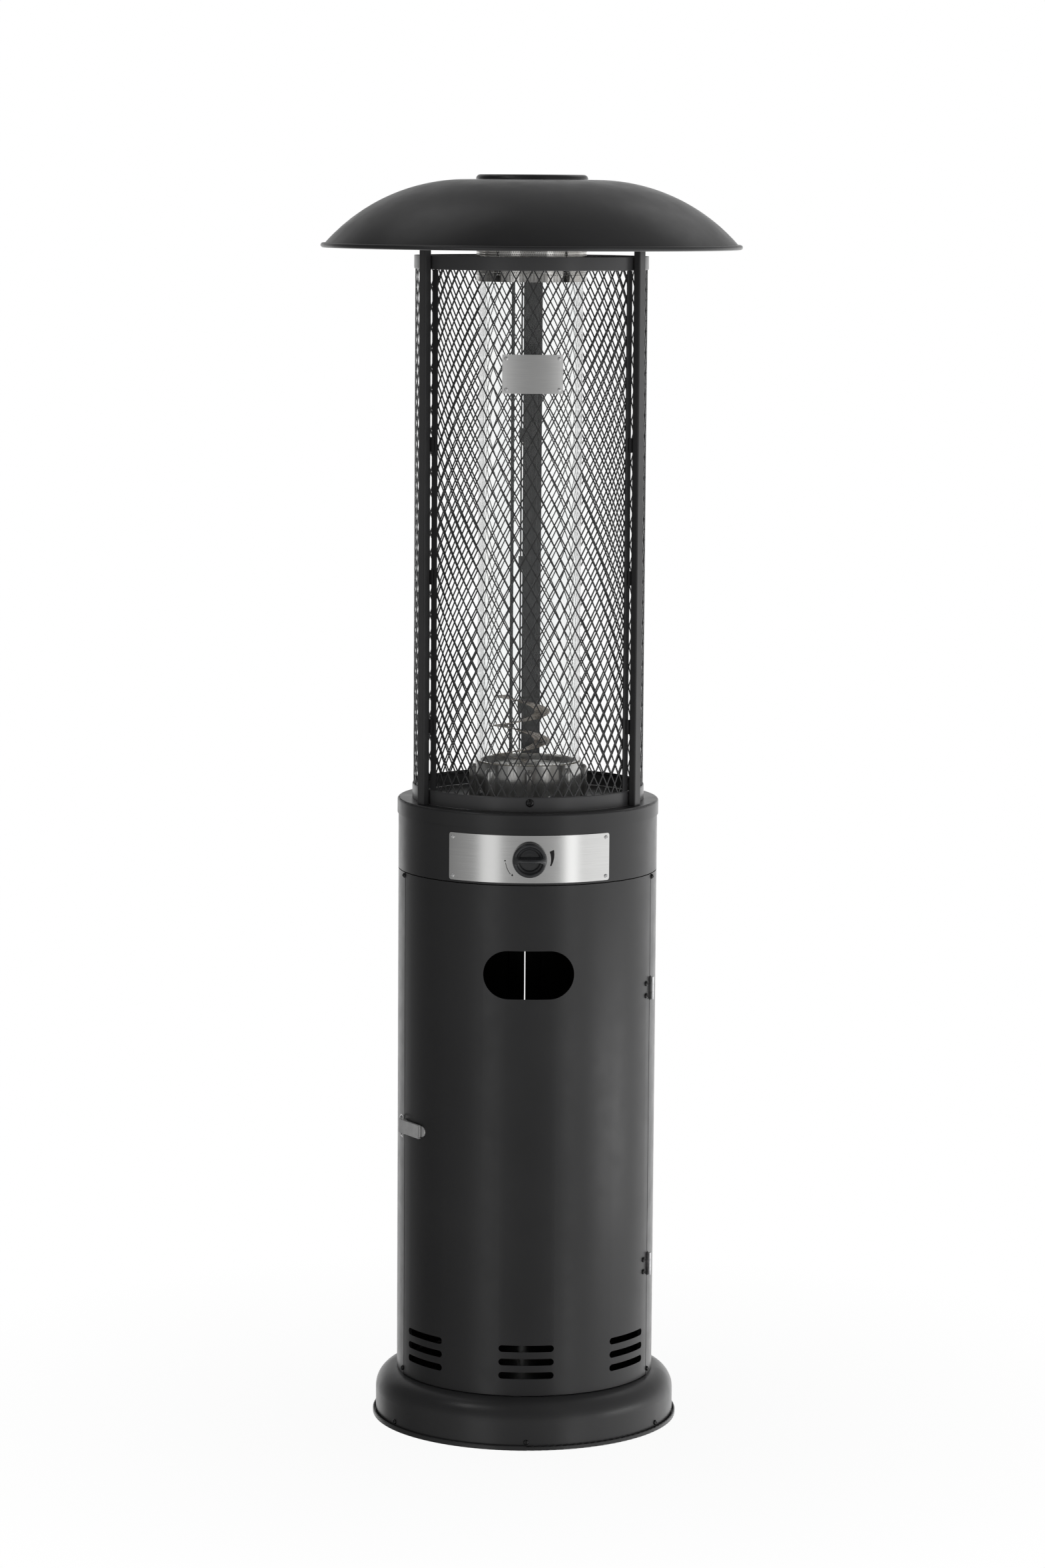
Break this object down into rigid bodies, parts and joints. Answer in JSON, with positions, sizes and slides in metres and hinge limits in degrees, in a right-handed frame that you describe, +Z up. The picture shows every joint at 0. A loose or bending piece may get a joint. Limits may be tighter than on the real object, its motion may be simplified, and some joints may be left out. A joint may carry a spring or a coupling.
{
  "type": "flame column patio heater",
  "caption": "Free-standing round gas heater: cabinet with hinged door on a base, glass flame tube inside a mesh guard, and a wide heat dome.",
  "frame": {"origin": "centre of the base plate's underside, on the ground", "axes": "+Z up along the column, -Y to the front with the control panel and the door's hand hole, +X to the hinge side of the door as seen from the front it is on the right"},
  "size_m": [0.6991, 0.6992, 2.096],
  "materials": {
    "powder_coat": "fine matt powder coat, charcoal",
    "stainless": "brushed stainless",
    "zinc_steel": "zinc plated",
    "heated_steel": "stainless browned by heat",
    "black_steel": "black oxide, satin",
    "brass": "turned brass",
    "copper": "drawn copper tube",
    "knob_plastic": "dark gloss",
    "switch_plastic": "matt black",
    "glass": "clear heat-proof tube",
    "gasket": "woven glass fibre ring"
  },
  "bodies": {
    "housing": {"base_plate": "powder_coat", "base_shell": "powder_coat", "base_screws": "black_steel", "upright_front_left": "powder_coat", "upright_front_right": "powder_coat", "upright_rear_left": "powder_coat", "upright_rear_right": "powder_coat", "rear_panel_left": "powder_coat", "rear_panel_right": "powder_coat", "panel_screws": "black_steel", "control_band": "powder_coat", "deck": "powder_coat", "control_panel": "stainless", "control_panel_screws": "stainless", "valve_body": "brass", "gas_pipe": "copper", "tilt_switch": "switch_plastic", "hinge_body_leaves": "black_steel", "hinge_pins": "black_steel", "latch_keeper": "stainless", "burner_pot": "stainless", "burner_tube": "stainless", "burner_head": "stainless", "pilot_set": "stainless", "flame_spiral": "heated_steel", "glass_gasket": "gasket", "glass_tube": "glass", "flame_screen": "stainless", "guard_ring_lower": "powder_coat", "guard_ring_upper": "powder_coat", "guard_mesh_front": "powder_coat", "guard_mesh_left": "powder_coat", "guard_mesh_right": "powder_coat", "guard_strips": "powder_coat", "guard_clips": "powder_coat", "guard_screws": "black_steel", "caution_plate": "stainless", "caution_rivets": "stainless", "post_left": "powder_coat", "post_right": "powder_coat", "post_rear": "powder_coat", "post_bolts": "zinc_steel", "post_top_screws": "zinc_steel", "head_plate": "powder_coat", "dome_studs": "zinc_steel", "dome_nuts": "zinc_steel", "dome": "powder_coat", "top_cap": "powder_coat"},
    "door": {"door": "powder_coat", "hinge_door_leaves": "black_steel", "hinge_screws": "black_steel", "latch_base": "stainless", "latch_pin": "stainless"},
    "latch_lever": {"latch_lever": "stainless"},
    "latch_bail": {"latch_bail": "stainless"},
    "valve_plug": {"valve_plug": "brass"},
    "knob": {"valve_stem": "stainless", "knob": "knob_plastic"}
  },
  "joints": [
    {"name": "door_hinge", "type": "hinge", "parent": "housing", "child": "door", "pos_m": [0.20913, -0.07116, 0.5112], "axis": [0, 0, 1], "range_deg": [0, 110]},
    {"name": "latch_lever_turn", "type": "hinge", "parent": "door", "child": "latch_lever", "pos_m": [-0.20865, -0.07843, 0.5112], "axis": [0, 0, -1], "range_deg": [0, 115]},
    {"name": "latch_bail_turn", "type": "hinge", "parent": "latch_lever", "child": "latch_bail", "pos_m": [-0.20713, -0.08628, 0.5112], "axis": [0, 0, -1], "range_deg": [-134, 0]},
    {"name": "valve_turn", "type": "hinge", "parent": "housing", "child": "valve_plug", "pos_m": [0, -0.2, 0.9839], "axis": [0, -1, 0], "range_deg": [0, 205]},
    {"name": "knob_push", "type": "slide", "parent": "valve_plug", "child": "knob", "axis": [0, 1, 0], "range_m": [0, 0.004], "stiffness_N_per_m": 800}
  ],
  "couplings": [
    {"joint": "latch_bail_turn", "follows": "latch_lever_turn", "ratio": -1.15}
  ]
}
